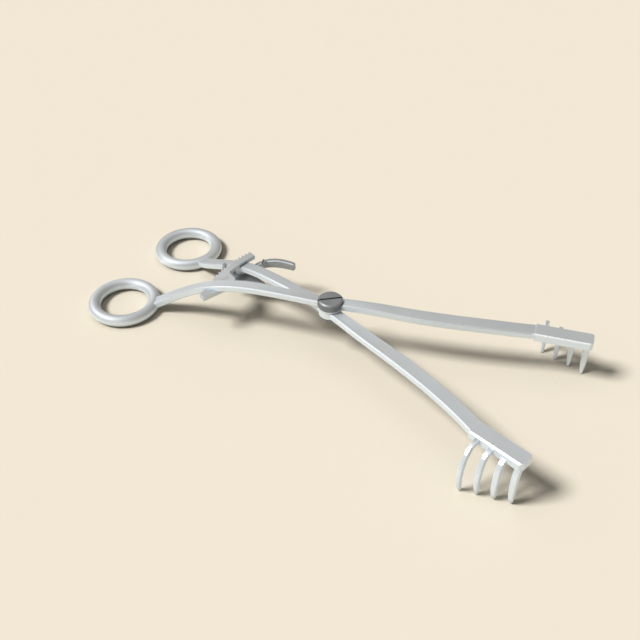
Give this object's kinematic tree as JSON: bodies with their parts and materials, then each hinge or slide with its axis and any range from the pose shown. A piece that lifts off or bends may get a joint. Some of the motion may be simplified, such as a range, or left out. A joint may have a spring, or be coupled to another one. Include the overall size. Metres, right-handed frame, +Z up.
{
  "type": "surgical retractor",
  "caption": "Handheld self-retaining surgical retractor: finger rings, crossed arms on a slotted pivot screw, toothed ratchet bar with release lever, clawed blades.",
  "frame": {"origin": "on the table under the middle of the bounding box, which is on the long axis near the pivot", "axes": "+X from the finger rings to the claw blades, +Z up from the table along the pivot axis, +Y toward the side of the release lever"},
  "size_m": [0.1908, 0.0826, 0.0241],
  "materials": {
    "arm_steel": "satin",
    "rack_steel": "satin",
    "screw_steel": "dark satin",
    "lever_steel": "dark satin",
    "spring_steel": "polished"
  },
  "bodies": {
    "lower_arm_body": {"lower_arm": "arm_steel", "pivot_screw": "screw_steel", "pivot_nut": "screw_steel", "lever_pin": "screw_steel", "lever_spring": "spring_steel", "spring_rivet": "screw_steel"},
    "upper_arm_body": {"upper_arm": "arm_steel", "ratchet_bar": "rack_steel", "ratchet_screws": "screw_steel"},
    "lever_body": {"release_lever": "lever_steel"}
  },
  "joints": [
    {"name": "arm_hinge", "type": "hinge", "parent": "lower_arm_body", "child": "upper_arm_body", "pos_m": [0.00402, 0, 0.02], "axis": [0, 0, 1], "range_deg": [-8, 6]},
    {"name": "lever_hinge", "type": "hinge", "parent": "lower_arm_body", "child": "lever_body", "pos_m": [-0.04418, 0.0102, 0.0105], "axis": [0, 0, -1], "range_deg": [-9.3, 6], "stiffness_Nm_per_rad": 0.1, "deforming": ["lever_spring"]}
  ]
}
